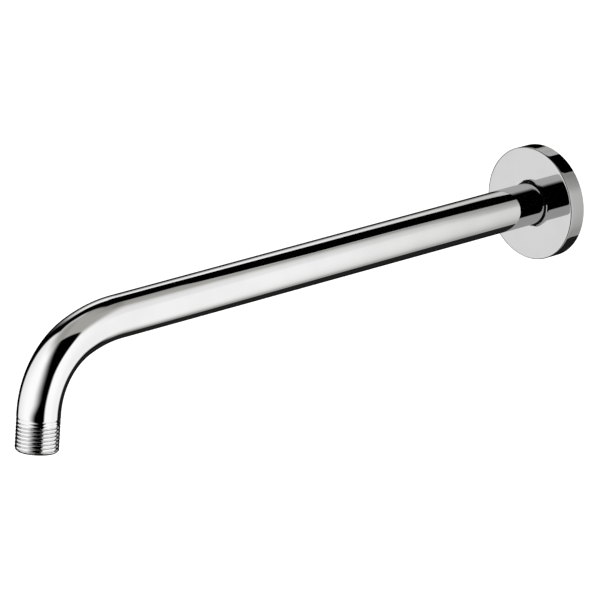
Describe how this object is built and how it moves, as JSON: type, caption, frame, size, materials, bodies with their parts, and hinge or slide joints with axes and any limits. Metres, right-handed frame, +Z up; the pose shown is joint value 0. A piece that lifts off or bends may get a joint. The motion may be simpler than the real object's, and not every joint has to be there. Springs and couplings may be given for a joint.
{
  "type": "shower arm",
  "caption": "Chromed shower arm: a bent pipe, threaded at the wall and at the outlet, with a round cover flange that slides and turns on it over a sealing ring.",
  "frame": {"origin": "on the arm's axis in the wall plane, which is the plane of the cover flange's back rim", "axes": "+Y into the wall along the arm's axis, so the arm leaves the wall along -Y; +Z up, so the outlet points down, 5 degrees out from the wall"},
  "size_m": [0.057, 0.3703, 0.0839],
  "materials": {
    "arm_chrome": "polished",
    "flange_chrome": "polished",
    "seal_rubber": "matte"
  },
  "bodies": {
    "arm": {"arm": "arm_chrome"},
    "seal": {"seal_ring": "seal_rubber"},
    "flange": {"cover_flange": "flange_chrome"}
  },
  "joints": [
    {"name": "flange_slide", "type": "slide", "parent": "arm", "child": "seal", "axis": [0, -1, 0], "range_m": [0, 0.28]},
    {"name": "flange_turn", "type": "hinge", "parent": "seal", "child": "flange", "pos_m": [0, -0.0061, 0], "axis": [0, 1, 0], "continuous": true}
  ]
}
